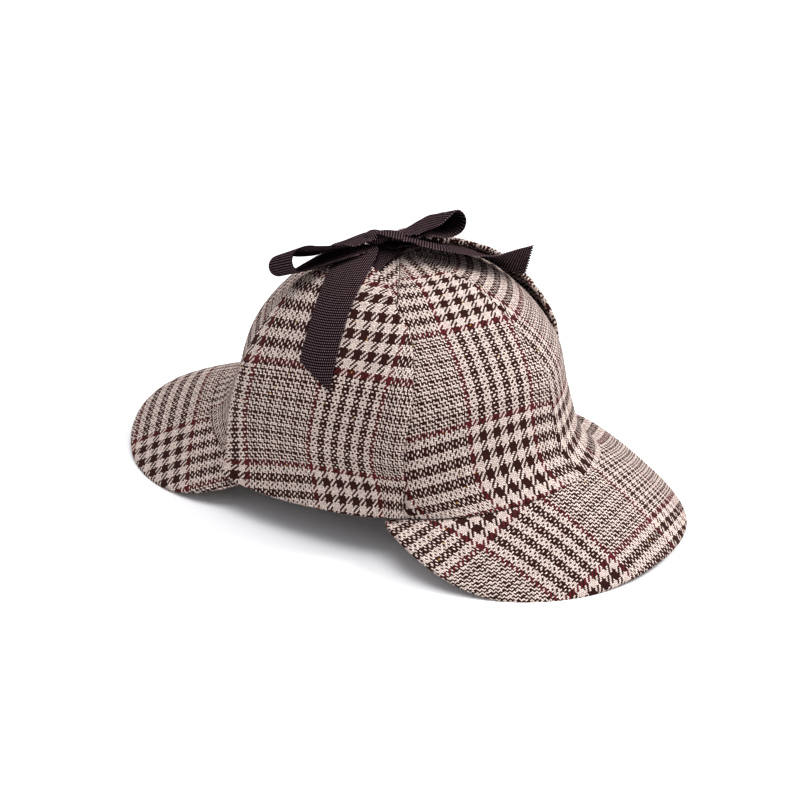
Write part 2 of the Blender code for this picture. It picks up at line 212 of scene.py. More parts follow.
# The standing tail's pinked end: how deep its teeth are cut and how far apart.
TOOTH_DEPTH, TOOTH_PITCH = 1.6, 2.3
ROOTS = {
    "ribbon_root_right": columns(
        "x y z off width",
        (-31.0, 4.0, 116.0, 0.4, 21.0),
        (-23.0, 5.5, 118.0, 0.4, 19.0),
        (-14.0, 6.3, 120.5, 0.6, 19.0),
        (-7.5, 6.2, 121.7, 1.1, 19.5),
        (0.5, 6.5, 122.3, 1.5, 19.5),
    ),
    "ribbon_root_left": columns(
        "x y z off width",
        (31.0, 6.0, 116.0, 0.4, 23.0),
        (20.0, 7.0, 118.0, 0.4, 22.0),
        (9.0, 7.6, 121.0, 0.6, 19.0),
        (1.0, 8.0, 122.0, 2.6, 19.0),
        (-5.0, 9.0, 122.0, 3.0, 17.0),
    ),
}

# ---------------------------------------------------------------------------------------------------
# Surfaces
# ---------------------------------------------------------------------------------------------------


def spline(table, steps, crossing=()):
    """Catmull-Rom curves through a table's rows, sampled evenly from the first row to the last.

    Where the last row is the top of a section that runs on down its other side, crossing names the
    columns that change sign there.
    """
    count = len(next(iter(table.values())))
    at = np.linspace(0.0, count - 1.0, steps)
    row = np.minimum(at.astype(int), count - 2)
    t = at - row
    curves = {}
    for name, value in table.items():
        beyond = 2.0 * value[-1] - value[-2]
        if crossing:
            beyond = -value[-2] if name in crossing else value[-2]
        padded = np.concatenate([[2.0 * value[0] - value[1]], value, [beyond]])
        a, b, c, d = (padded[row + shift] for shift in range(4))
        curves[name] = 0.5 * (2.0 * b + (c - a) * t + (2.0 * a - 5.0 * b + 4.0 * c - d) * t ** 2
                              + (3.0 * b - a - 3.0 * c + d) * t ** 3)
    return curves


def sample(curves, share):
    """A spline's columns read off at shares of its run, from 0 to 1."""
    at = np.linspace(0.0, 1.0, len(next(iter(curves.values()))))
    return {name: np.interp(share, at, value) for name, value in curves.items()}


PROFILE = spline(CROWN_SECTION, PROFILE_ROWS, crossing=("front", "back", "width"))


def edge_height(angle):
    """Height of the crown's lower edge: a mean with a wave of two and of four humps, and a tilt."""
    return (EDGE_MEAN + EDGE_ARCH * np.cos(2.0 * angle) + EDGE_FLAT * np.cos(4.0 * angle)
            + EDGE_RISE * np.cos(angle))


def smooth_crown(angle, height):
    """The crown without its gores: a half ellipse for each half, scaled up its section."""
    front, back, width = (np.interp(height, PROFILE["height"], PROFILE[name])
                          for name in ("front", "back", "width"))
    half_length = 0.5 * CROWN_LENGTH * np.where(np.cos(angle) > 0.0, front, back)
    half_width = 0.5 * CROWN_WIDTH * width
    edge = edge_height(angle)
    rise = edge + (CROWN_TOP - edge) * height
    return np.stack([half_width * np.sin(angle), -half_length * np.cos(angle), rise], axis=-1)


def unit(vectors):
    """Vectors cut to length 1."""
    return vectors / np.maximum(np.linalg.norm(vectors, axis=-1, keepdims=True), 1e-9)


def crown_normal(angle, height):
    """The crown's outward unit normal, the cross product of its two slopes."""
    low = np.clip(height - SLOPE_STEP, 0.0, 0.997 - 2.0 * SLOPE_STEP)
    around = smooth_crown(angle + SLOPE_STEP, low) - smooth_crown(angle - SLOPE_STEP, low)
    upward = smooth_crown(angle, low + 2.0 * SLOPE_STEP) - smooth_crown(angle, low)
    return unit(np.cross(around, upward))


def crown_point(angle, height, off=0.0):
    """A point of the crown's cloth: each gore dips in between its seams as |sin| of the angle."""
    over = np.maximum(height, 0.0)
    dip = GORE_DIP * np.abs(np.sin(0.5 * GORE_COUNT * angle)) * np.minimum(3.0 * over, 1.0)
    point = smooth_crown(angle, over)
    point[..., :2] *= (1.0 - dip)[..., None]
    point[..., 2] += (CROWN_TOP - edge_height(angle)) * np.minimum(height, 0.0)
    return point + crown_normal(angle, over) * np.asarray(off)[..., None]


def crown_place(points):
    """The angle and the height share of points near the crown."""
    angle = np.arctan2(points[..., 0] * CROWN_LENGTH, -points[..., 1] * CROWN_WIDTH)
    edge = edge_height(angle)
    return angle, np.clip((points[..., 2] - edge) / (CROWN_TOP - edge), 0.0, 1.0)


def lay_on_crown(points, off):
    """Points moved along rays from inside the crown until they lie off its outer surface.

    Where a ray leaves the crown is found by halving the stretch that it lies in, again and again.
    """
    heart, furthest, halvings = np.array((0.0, 0.0, 45.0)), 3.0, 40
    ray = points - heart
    near, far = np.zeros(points.shape[:-1]), np.full(points.shape[:-1], furthest)
    for _ in range(halvings):
        middle = 0.5 * (near + far)
        trial = heart + ray * middle[..., None]
        angle, height = crown_place(trial)
        outside = np.linalg.norm(trial[..., :2], axis=-1) > np.linalg.norm(
            crown_point(angle, height)[..., :2], axis=-1)
        outside |= height >= 1.0
        far = np.where(outside, middle, far)
        near = np.where(outside, near, middle)
    angle, height = crown_place(heart + ray * near[..., None])
    return crown_point(angle, height, off)


def rumple(points, depth, seed=0.0):
    """Soft unevenness of sewn cloth: a sum of four slow waves of the place, from -depth to depth."""
    x, y, z = (points[..., axis] for axis in range(3))
    waves = (np.sin(x / 9.1 + z / 13.0 + seed) + np.sin(y / 11.3 - z / 8.7 + 1.7 * seed)
             + np.sin(z / 6.1 + x / 17.0 - y / 19.0 + 2.9 * seed) + np.sin(y / 6.7 + x / 7.9 + 0.6 * seed))
    return 0.25 * depth * waves


def run_along(points, axis):
    """Distance along the grid's lines of one axis, from each line's start."""
    step = np.linalg.norm(np.diff(points, axis=axis), axis=-1)
    pad = [(0, 0), (0, 0)]
    pad[axis] = (1, 0)
    return np.cumsum(np.pad(step, pad), axis=axis)


def grid_lines(length, spacing, turn):
    """Shares of a side, close together over the last bit at each end, where the cloth turns over."""
    near = turn * np.array([0.0, 0.03, 0.12, 0.28, 0.52, 1.0])
    steps = max(int(round((length - 2.0 * turn) / spacing)), 2)
    inner = np.linspace(turn, length - turn, steps + 1)[1:-1]
    return np.concatenate([near, inner, length - near[::-1]]) / length


def grid_faces(index):
    """Quads between neighbouring places of a grid of vertex numbers."""
    corners = [index[:-1, :-1], index[:-1, 1:], index[1:, 1:], index[1:, :-1]]
    return np.stack(corners, axis=-1).reshape(-1, 4)


def mesh_piece(name, points, faces, flat):
    """A mesh object from points in millimetres, quads and each point's flat place as its UV map."""
    mesh = bpy.data.meshes.new(name)
    mesh.vertices.add(len(points))
    mesh.vertices.foreach_set("co", (points * MM).astype(np.float32).ravel())
    mesh.loops.add(faces.size)
    mesh.loops.foreach_set("vertex_index", faces.astype(np.int32).ravel())
    mesh.polygons.add(len(faces))
    mesh.polygons.foreach_set("loop_start", np.arange(0, faces.size, 4, dtype=np.int32))
    mesh.polygons.foreach_set("use_smooth", np.ones(len(faces), dtype=bool))
    mesh.update(calc_edges=True)
    layer = mesh.uv_layers.new(name="cloth")
    layer.data.foreach_set("uv", flat[faces.ravel()].astype(np.float32).ravel())
    mesh.validate()
    piece = bpy.data.objects.new(name, mesh)
    bpy.context.scene.collection.objects.link(piece)
    return piece


def over_the_edge(flat, round_run, up_run, turn):
    """How much further the flat places lie where the cloth turns over its edges.

    The arc of a quarter circle, less its run: turn times (angle - sin angle), angle from its foot.
    """
    further = np.zeros_like(flat)
    for axis, run in ((1, round_run), (0, up_run)):
        slope = np.gradient(flat, axis=axis) / np.maximum(np.gradient(run, axis=axis), 1e-4)[..., None]
        end = np.take(run, [-1], axis=axis)
        for distance, sign in ((run, -1.0), (end - run, 1.0)):
            sine = np.clip(1.0 - distance / turn, 0.0, 1.0)
            further += sign * slope * (turn * (np.arcsin(sine) - sine))[..., None]
    return further


def cloth_shell(name, place, across, up, turn, flat_place):
    """A closed cloth shell whose two faces meet in a rounded edge.

    place(u, v, depth) gives the point between the inner face (depth 0) and the outer face (1). Over the
    last bit before an edge, turn millimetres wide, both faces close in on the middle as a quarter circle.
    """
    u, v = np.meshgrid(across, up)
    middle = place(u, v, 0.5 + 0.0 * u)
    round_run, up_run = run_along(middle, 1), run_along(middle, 0)
    edge = np.minimum(np.minimum(round_run, round_run[:, -1:] - round_run),
                      np.minimum(up_run, up_run[-1:, :] - up_run))
    half = 0.5 * np.sqrt(1.0 - (1.0 - np.minimum(edge / turn, 1.0)) ** 2)
    outer, inner = place(u, v, 0.5 + half), place(u, v, 0.5 - half)
    flat = flat_place(u, v, middle) + over_the_edge(flat_place(u, v, middle), round_run, up_run, turn)
    rows, cols = u.shape
    outer_index = np.arange(rows * cols).reshape(rows, cols)
    inner_index = outer_index.copy()
    inner_index[1:-1, 1:-1] = rows * cols + np.arange((rows - 2) * (cols - 2)).reshape(rows - 2, cols - 2)
    points = np.concatenate([outer.reshape(-1, 3), inner[1:-1, 1:-1].reshape(-1, 3)])
    flats = np.concatenate([flat.reshape(-1, 2), flat[1:-1, 1:-1].reshape(-1, 2)])
    outer_faces, inner_faces = grid_faces(outer_index), grid_faces(inner_index)[:, ::-1]
    facing = np.cross(outer[1:-1, 2:] - outer[1:-1, :-2], outer[2:, 1:-1] - outer[:-2, 1:-1])
    if (facing * (outer - inner)[1:-1, 1:-1]).sum() < 0.0:
        outer_faces, inner_faces = outer_faces[:, ::-1], inner_faces[:, ::-1]
    return mesh_piece(name, points, np.concatenate([outer_faces, inner_faces]), flats)


# ---------------------------------------------------------------------------------------------------
# How each piece is cut from the plaid
# ---------------------------------------------------------------------------------------------------

# Where a piece's own zero lies in the plaid, in threads, and how its threads run there: millimetres to a
# thread, degrees that the warp count's direction is turned from the piece's own, degrees that the cloth is
# sheared, and how its wefts bow and its warps and wefts crowd, each times a distance squared.
CUT_NAMES = "warp weft warp_pitch weft_pitch turn shear bow crowd ease"
CUTS = {
    "crown_gore_front_left": (94.0, -117.5, 0.58, 0.887, 0.0, 0.0, 0.0022, 0.0, 0.0025),
    "crown_gore_side_left": (46.0, -111.5, 0.6, 0.767, 0.0, 0.0, 0.0022, 0.0, 0.0015),
    "crown_gore_back_left": (19.0, -89.0, 0.6, 0.767, 0.0, 0.0, 0.0022, 0.0, 0.0015),
    "crown_gore_back_right": (62.5, 76.0, 0.6, 0.767, 0.0, 0.0, 0.0022, 0.0, 0.0015),
    "crown_gore_side_right": (34.0, -104.0, 0.6, 0.767, 0.0, 0.0, 0.0022, 0.0, 0.0015),
    "crown_gore_front_right": (12.9, -121.7, 0.58, 0.887, 0.0, 0.0, 0.0022, 0.0, 0.0025),
    "front_peak": (99.4, 8.6, 0.64, 0.727, 0.0, 4.0, -0.0023, 0.0, 0.0),
    "back_peak": (63.7, -6.9, 0.64, 0.767, 121.0, -9.0, 0.0, 0.0, 0.0),
    "ear_flap_right": (-8.1, -95.3, 0.667, 0.677, 0.0, 7.0, 0.0027, 0.0049, -0.0012),
    "ear_flap_left": (47.5, -59.0, 0.633, 0.72, 0.0, -4.0, 0.0027, 0.0, 0.0),
}


def cut_from_plaid(node, across, up):
    """Warp and weft thread numbers of places on a piece: turned, sheared and crowded distances."""
    cut = dict(zip(CUT_NAMES.split(), CUTS[node]))
    turn, lean = math.radians(cut["turn"]), math.radians(cut["turn"] + cut["shear"])
    x = across * math.cos(turn) + up * math.sin(turn)
    y = up * math.cos(lean) - across * math.sin(lean) + cut["bow"] * x ** 2
    warp = cut["warp"] + x / cut["warp_pitch"] + cut["crowd"] * x ** 2
    weft = cut["weft"] + y / cut["weft_pitch"] + cut["ease"] * y ** 2
    return np.stack([warp, weft], axis=-1)


def flat_grid(node, u, middle, side=1.0):
    """Thread numbers on a grid laid flat: across from its middle column, up along that column."""
    around = run_along(middle, 1)
    column = np.argmin(np.abs(u[0] - 0.5))
    across = side * (around - around[:, column:column + 1])
    up = run_along(middle, 0)[:, column:column + 1] + 0.0 * across
    return cut_from_plaid(node, across, up)


# ---------------------------------------------------------------------------------------------------
# Materials
# ---------------------------------------------------------------------------------------------------


def linear(code):
    """The linear colour of an sRGB hex value."""
    parts = [int(code[at:at + 2], 16) / 255.0 for at in (1, 3, 5)]
    return [c / 12.92 if c <= 0.04045 else ((c + 0.055) / 1.055) ** 2.4 for c in parts] + [1.0]


def add(tree, kind, sockets=(), **properties):
    """Adds a node: its own properties, and what goes into its sockets, in order or by number or name.

    That is a number, a vector, a colour, another node, which stands for its first output, or an output.
    """
    node = tree.nodes.new(kind)
    for name, value in properties.items():
        setattr(node, name, value)
    for at, value in sockets.items() if isinstance(sockets, dict) else enumerate(sockets):
        if isinstance(value, bpy.types.Node):
            value = value.outputs[0]
        if isinstance(value, bpy.types.NodeSocket):
            tree.links.new(value, node.inputs[at])
        else:
            node.inputs[at].default_value = value
    return node


def empty_material(name):
    """A material with an empty node tree."""
    material = bpy.data.materials.new(name)
    material.use_nodes = True
    material.node_tree.nodes.clear()
    return material


# A Mix node's sockets by number: 0 its factor, 2 and 3 two numbers, 4 and 5 vectors, 6 and 7 colours.
MATH, MIX, NOISE = "ShaderNodeMath", "ShaderNodeMix", "ShaderNodeTexNoise"
VECTOR_MATH, UV_MAP, SPLIT = "ShaderNodeVectorMath", "ShaderNodeUVMap", "ShaderNodeSeparateXYZ"
BUMP, SHADER, OUTPUT = "ShaderNodeBump", "ShaderNodeBsdfPrincipled", "ShaderNodeOutputMaterial"

CREAM, BROWN, RED, FLECK = linear("#dbc9bf"), linear("#261210"), linear("#571a1f"), linear("#a87f36")
# Painted shade: the warm dark that the tweed's colour is mixed towards at the sides of its yarns and in the
# gaps between them.
PAINTED_SHADE_BETWEEN_YARNS, FUZZ = linear("#3e1916"), linear("#a38a80")
# The ribbon's painted shade for its grooves, its dusty mauve as the painted light on its beads, and the
# board's white.
RIBBON_GROOVE_PAINTED_SHADE, RIBBON_MAUVE_PAINTED_BEAD_LIGHT, WHITE_BOARD = linear("#040202"), linear("#866c72"), linear("#fbfbfb")

# Threads to one repeat of the plaid: four red, nine broad stripes of six, the last a thread short, four
# red, and then single threads of brown and cream in turn, which swap places after every six.
RED_THREADS, STRIPE, BROAD_STRIPES = 4.0, 6.0, 9.0
BROAD_END = RED_THREADS + STRIPE * BROAD_STRIPES - 1.0
WARP_REPEAT, WEFT_REPEAT = 114.0, 123.0
# Threads to a repeat of the twill and to a float, threads that a yarn strays sideways, how its round back
# goes, how far it falls to the ends of a float, and the share of floats that are yellow flecks. Its round
# back and its fall shape both its bump and the painted shade on it.
TWILL, FLOAT, YARN_STRAY, YARN_ROUND, FLOAT_FALL, FLECK_SHARE = 4.0, 2.0, 0.4, 0.8, 0.45, 0.0007
# Ribs 1.3 mm apart both ways: the real ribbon's are about half that, too fine to show.
RIB_SPACING = 1.3


def thread_colour(tree, number, repeat):
    """The colour of a numbered thread: red, a broad stripe, or one of the single threads.

    The threads past the broad stripes are counted afresh from their own four red ones.
    """
    place = add(tree, MATH, (number, repeat), operation="FLOORED_MODULO")
    fine = add(tree, MATH, (place, BROAD_END - 0.5), operation="GREATER_THAN")
    local = add(tree, MATH, (fine, -BROAD_END, place), operation="MULTIPLY_ADD")
    count = add(tree, MATH, (local, RED_THREADS), operation="SUBTRACT")
    stripe = add(tree, MATH, (add(tree, MATH, (count, STRIPE), operation="DIVIDE"),), operation="FLOOR")
    group = add(tree, MATH, (stripe, 2.0), operation="FLOORED_MODULO")
    turned = add(tree, MATH, (count, group), operation="ADD")
    single = add(tree, MATH, (turned, 2.0), operation="FLOORED_MODULO")
    dark = add(tree, MIX, {0: fine, 2: group, 3: single}, data_type="FLOAT")
    plain = add(tree, MIX, {0: dark, 6: CREAM, 7: BROWN}, data_type="RGBA").outputs[2]
    red = add(tree, MATH, (local, RED_THREADS - 0.5), operation="LESS_THAN")
    return add(tree, MIX, {0: red, 6: plain, 7: RED}, data_type="RGBA").outputs[2]


def tweed():
    """Wool tweed, woven as a two-and-two twill in a glen plaid.

    The yarns are round and slightly uneven, so each float is a small rounded step with a painted highlight
    along its back and painted shade at its sides; the surface is dull, with a pale fuzz that shows where it
    is seen along the cloth.
    """
    material = empty_material("woven wool tweed")
    tree = material.node_tree
    flat = add(tree, UV_MAP, uv_map="cloth")
    wander = add(tree, NOISE, {"Vector": flat, "Scale": 0.5, "Detail": 3.0}, noise_dimensions="2D")
    both_ways, one_way = (2.0 * YARN_STRAY, 2.0 * YARN_STRAY, 0.0), (-YARN_STRAY, -YARN_STRAY, 0.0)
    stray = add(tree, VECTOR_MATH, (wander.outputs[1], both_ways, one_way), operation="MULTIPLY_ADD")
    moved = add(tree, VECTOR_MATH, (flat, stray), operation="ADD")
    warp, weft = list(add(tree, SPLIT, (moved,)).outputs)[:2]
    warp_number = add(tree, MATH, (warp,), operation="FLOOR")
    weft_number = add(tree, MATH, (weft,), operation="FLOOR")
    across_twill = add(tree, MATH, (warp_number, weft_number), operation="SUBTRACT")
    step = add(tree, MATH, (across_twill, TWILL), operation="FLOORED_MODULO")
    over = add(tree, MATH, (step, FLOAT - 0.5), operation="LESS_THAN")
    weft_colour = thread_colour(tree, weft_number, WEFT_REPEAT)
    warp_colour = thread_colour(tree, warp_number, WARP_REPEAT)
    colour = add(tree, MIX, {0: over, 6: weft_colour, 7: warp_colour}, data_type="RGBA").outputs[2]

    # The yarn's round back across the thread, and its rise and fall along each float over two threads: the
    # relief for the bump, which also sets the painted shade and highlight on the yarns.
    warp_part = add(tree, MATH, (warp,), operation="FRACT")
    weft_part = add(tree, MATH, (weft,), operation="FRACT")
    side = add(tree, MIX, {0: over, 2: weft_part, 3: warp_part}, data_type="FLOAT")
    centre = add(tree, MATH, (side, 2.0, -1.0), operation="MULTIPLY_ADD")
    fall = add(tree, MATH, (centre, centre), operation="MULTIPLY")
    height = add(tree, MATH, (1.0, fall), operation="SUBTRACT")
    back = add(tree, MATH, (height, YARN_ROUND), operation="POWER")
    # From -1 to 1 along a float: the step less the weft's part, or the step and the warp's part, less 3.
    warp_run = add(tree, MATH, (step, weft_part), operation="SUBTRACT")
    weft_sum = add(tree, MATH, (step, warp_part), operation="ADD")
    weft_run = add(tree, MATH, (weft_sum, 3.0), operation="SUBTRACT")
    along = add(tree, MIX, {0: over, 2: weft_run, 3: warp_run}, data_type="FLOAT")
    bow = add(tree, MATH, (along, along), operation="MULTIPLY")
    rise = add(tree, MATH, (bow, -FLOAT_FALL, 1.0), operation="MULTIPLY_ADD")
    yarn = add(tree, MATH, (back, rise), operation="MULTIPLY")

    # Uneven spinning, in streaks about a thread wide and five threads long, and fibres a fifth of a thread
    # wide. A yarn is painted lightest along its back and fades into painted shade in the gap beside it.
    stretch = add(tree, MIX, {0: over, 4: (0.22, 1.0, 0.0), 5: (1.0, 0.22, 0.0)}, data_type="VECTOR")
    streaks = add(tree, VECTOR_MATH, (flat, stretch.outputs[1]), operation="MULTIPLY")
    spun = add(tree, NOISE, {"Vector": streaks, "Scale": 0.9, "Detail": 4.0, "Roughness": 0.7},
               noise_dimensions="2D")
    fibre = add(tree, NOISE, {"Vector": flat, "Scale": 5.5, "Detail": 2.0}, noise_dimensions="2D")
    painted_yarn_shading = add(tree, MATH, (yarn, 1.3, -0.06), operation="MULTIPLY_ADD")
    spun_light = add(tree, MATH, (spun, 2.1), operation="MULTIPLY")
    light = add(tree, MATH, (painted_yarn_shading, spun_light), operation="MULTIPLY")
    # Painted shade and highlight: the colour darkens towards the gaps between yarns and lightens along
    # their backs.
    shaded = add(tree, MIX, {0: light, 6: PAINTED_SHADE_BETWEEN_YARNS, 7: colour}, data_type="RGBA",
                 clamp_factor=False).outputs[2]
    fuzz = add(tree, MATH, (fibre, 0.05, -0.015), operation="MULTIPLY_ADD")
    fuzzed = add(tree, MIX, {0: fuzz, 6: shaded, 7: FUZZ}, data_type="RGBA").outputs[2]

    # A few yellow flecks spun in by chance.
    cell = add(tree, "ShaderNodeCombineXYZ", (warp_number, weft_number))
    chance = add(tree, "ShaderNodeTexWhiteNoise", {"Vector": cell}, noise_dimensions="2D")
    rare = add(tree, MATH, (chance, 1.0 - FLECK_SHARE), operation="GREATER_THAN")
    flecked = add(tree, MIX, {0: rare, 6: fuzzed, 7: FLECK}, data_type="RGBA").outputs[2]

    relief = add(tree, MATH, (fibre, 0.25, yarn), operation="MULTIPLY_ADD")
    bump = add(tree, BUMP, {"Strength": 0.9, "Distance": 0.3 * MM, "Height": relief})
    shader = add(tree, SHADER, {
        "Base Color": flecked, "Roughness": 0.95, "Specular IOR Level": 0.03, "Sheen Weight": 0.05,
        "Sheen Roughness": 0.25, "Sheen Tint": linear("#ffe6e0"), "Normal": bump})
    add(tree, OUTPUT, (shader,))
    return material


def ribbon():
    """Polyester ribbon, woven in fine ribs both ways, each a sine of the place.

    Its dusty mauve is darkened to near black in the grooves as painted shade, and each crossing of two ribs
    is a small bead lit with a painted highlight, more or less light in spots under a millimetre wide.
    """
    material = empty_material("woven polyester ribbon")
    tree = material.node_tree
    flat = add(tree, UV_MAP, uv_map="cloth")
    ways = list(add(tree, SPLIT, (flat,)).outputs)[:2]
    turns = [add(tree, MATH, (way, 2.0 * math.pi / RIB_SPACING), operation="MULTIPLY") for way in ways]
    waves = [add(tree, MATH, (turn,), operation="SINE") for turn in turns]
    ribs = [add(tree, MATH, (wave, 0.5, 0.5), operation="MULTIPLY_ADD") for wave in waves]
    bead = add(tree, MATH, ribs, operation="MULTIPLY")
    spun = add(tree, NOISE, {"Vector": flat, "Scale": 1.3, "Detail": 3.0}, noise_dimensions="2D")
    bead_light = add(tree, MATH, (bead, 2.0), operation="POWER")
    spun_light = add(tree, MATH, (spun, 1.2, 0.4), operation="MULTIPLY_ADD")
    bead_shade_and_spots = add(tree, MATH, (bead_light, spun_light), operation="MULTIPLY")
    # Painted shade and highlight: near black in the rib grooves, mauve on the raised beads.
    colour = add(tree, MIX, {0: bead_shade_and_spots, 6: RIBBON_GROOVE_PAINTED_SHADE, 7: RIBBON_MAUVE_PAINTED_BEAD_LIGHT}, data_type="RGBA").outputs[2]
    bump = add(tree, BUMP, {"Strength": 0.8, "Distance": 0.15 * MM, "Height": bead})
    shader = add(tree, SHADER, {
        "Base Color": colour, "Roughness": 0.5, "Specular IOR Level": 0.0, "Normal": bump})
    add(tree, OUTPUT, (shader,))
    return material


def table_top():
    """Matt white studio board: an even ground without gloss, on which the hat's shadow is soft."""
    material = empty_material("matt white board")
    tree = material.node_tree
    shader = add(tree, SHADER, {"Base Color": WHITE_BOARD, "Roughness": 0.9})
    add(tree, OUTPUT, (shader,))
    return material


TWEED, RIBBON, BOARD = tweed(), ribbon(), table_top()


def dress(piece, node, material):
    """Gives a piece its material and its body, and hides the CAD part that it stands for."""
    piece.data.materials.append(material)
    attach(piece, "root")
    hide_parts(node)
    return piece


# ---------------------------------------------------------------------------------------------------
# Crown, peaks and ear flaps
# ---------------------------------------------------------------------------------------------------


def gore(node, index):
    """One gore of the crown, a shell between the crown's outer surface and its wall further in.

    Its sides keep half the seam's gap from the seams' angles, and its middle has dents, which fade to its
    edges as the sines of its two shares.
    """
    span = 2.0 * math.pi / GORE_COUNT
    start = index * span

    def half_gap(seam, level):
        """The angle that half the seam's gap takes up, from how wide the crown is at a level."""
        width = smooth_crown(seam + SLOPE_STEP, level) - smooth_crown(seam - SLOPE_STEP, level)
        angle = SEAM_GAP * SLOPE_STEP / np.maximum(np.linalg.norm(width, axis=-1), 1e-5)
        return np.minimum(angle, 0.45 * span)

    def place(u, v, depth):
        level = np.minimum(sample(PROFILE, v)["height"], POLE_HEIGHT)
        near, far = half_gap(start, level), half_gap(start + span, level)
        angle = start + near + (span - near - far) * u
        base = crown_point(angle, level, -CROWN_WALL * (1.0 - depth))
        dents = (rumple(base, GORE_DENTS, index) - GORE_DENTS) * np.sin(math.pi * u) * np.sin(math.pi * v)
        return base + crown_normal(angle, level) * dents[..., None]

    piece = cloth_shell("tweed_" + node, place, grid_lines(GORE_RUN, GORE_MESH, GORE_TURN),
                        grid_lines(GORE_RISE, GORE_MESH, GORE_TURN), GORE_TURN,
                        lambda u, v, middle: flat_grid(node, u, middle))
    return dress(piece, node, TWEED)


def peak(node, facing, half_angle, fade, blunt, drops):
    """A crescent that slopes down from the crown's edge, pressed flat on the table along its rim.

    With q from -1 to 1 between its corners, its reach goes as (1 - |q| to the power fade) to the power
    blunt. So does its drop, times a sum of a constant, the square and the fourth power of q. Its camber is
    a parabola from its sewn edge to its rim.
    """

    def place(u, v, depth):
        q = 2.0 * u - 1.0
        angle = math.radians(facing) + q * math.radians(half_angle)
        share = np.maximum(1.0 - np.abs(q) ** fade, 0.0) ** blunt
        reach = PEAK_TUCK + (0.5 * (HAT_LENGTH - CROWN_LENGTH) - PEAK_TUCK) * share
        drop = share * (drops[0] + drops[1] * q ** 2 + drops[2] * q ** 4)
        outward = unit(np.stack([np.sin(angle) / CROWN_WIDTH, -np.cos(angle) / CROWN_LENGTH, 0.0 * angle],
                                axis=-1))
        top = crown_point(angle, 0.0 * angle) + outward * (PEAK_INSET * (v - 1.0) + reach * v)[..., None]
        settle = PEAK_SINK + (REST_SETTLE - PEAK_SINK) * v
        top[..., 2] += 4.0 * PEAK_CAMBER * share * v * (1.0 - v) - drop * v - settle
        down = np.stack([-outward[..., 0] * drop, -outward[..., 1] * drop, -reach], axis=-1)
        point = top + PEAK_WALL * (1.0 - depth)[..., None] * down / np.hypot(reach, drop)[..., None]
        point[..., 2] = np.maximum(point[..., 2], TABLE_GAP)
        return point

    def flat_place(u, v, middle):
        """The peak laid flat: straight out from its sewn edge by the distance run."""
        sewn = middle[:1, :, :2]
        outward = unit(middle[-1:, :, :2] - sewn)
        flat = sewn + outward * run_along(middle, 0)[..., None]
        return cut_from_plaid(node, flat[..., 0], flat[..., 1])

    piece = cloth_shell("tweed_" + node, place, grid_lines(PEAK_RUN, PEAK_MESH, PEAK_TURN),
                        grid_lines(PEAK_REACH, PEAK_MESH, PEAK_TURN), PEAK_TURN, flat_place)
    return dress(piece, node, TWEED)


def ear_flap(node, side, table):
    """A turned-up flap: levels from the hem to the tip, each lying off the crown by its own gap.

    The gap is the parabola through its front, middle and back values. The crease of the border is a bell
    curve across it, and fades out half-way up.
    """
    levels = spline(table, FLAP_ROWS)

    def place(u, v, depth):
        level = sample(levels, v)
        angle = side * np.radians(level["front_angle"] + (level["back_angle"] - level["front_angle"]) * u)
        height = level["front_height"] + (level["back_height"] - level["front_height"]) * u
        gap = (level["front_gap"] * (1.0 - u) * (1.0 - 2.0 * u) + level["middle_gap"] * 4.0 * u * (1.0 - u)
               + level["back_gap"] * u * (2.0 * u - 1.0))
        bell = np.exp(-((FLAP_RUN * u - BORDER) / BORDER_CREASE) ** 2)
        crease = BORDER_DEPTH * bell * np.clip((0.5 - v) / 0.1, 0.0, 1.0)
        return crown_point(angle, height, np.maximum(gap, LEAST_GAP) + FLAP_WALL * depth - crease * depth)

    piece = cloth_shell("tweed_" + node, place, grid_lines(FLAP_RUN, FLAP_MESH_ROUND, FLAP_TURN),
                        grid_lines(FLAP_RISE, FLAP_MESH_UP, FLAP_TURN), FLAP_TURN,
                        lambda u, v, middle: flat_grid(node, u, middle, side))
    grid = place(*np.meshgrid(np.linspace(0.0, 1.0, 31), np.linspace(0.0, 1.0, 31)), 0.5)
    run_along(grid, 1).max() * MM
    run_along(grid, 0).max() * MM
    return dress(piece, node, TWEED)


# ---------------------------------------------------------------------------------------------------
# Ribbon bow
# ---------------------------------------------------------------------------------------------------

RIBBON_ACROSS = grid_lines(RIBBON_WIDTH, RIBBON_MESH, RIBBON_TURN)


def ribbon_shell(name, node, middle, face, run, width):
    """A ribbon from a grid of middle points and the direction its face looks, half a wall to each side."""
    count = middle.shape[0]

    def place(u, v, depth):
        return middle + face * (RIBBON_WALL * (depth - 0.5))[..., None]

    def flat_place(u, v, points):
        """The ribbon laid straight: its run along it, and its place across its width."""
        return np.stack([run + 0.0 * u, (u - 0.5) * width], axis=-1)

    piece = cloth_shell(name, place, RIBBON_ACROSS, np.linspace(0.0, 1.0, count), RIBBON_TURN, flat_place)
    return dress(piece, node, RIBBON)


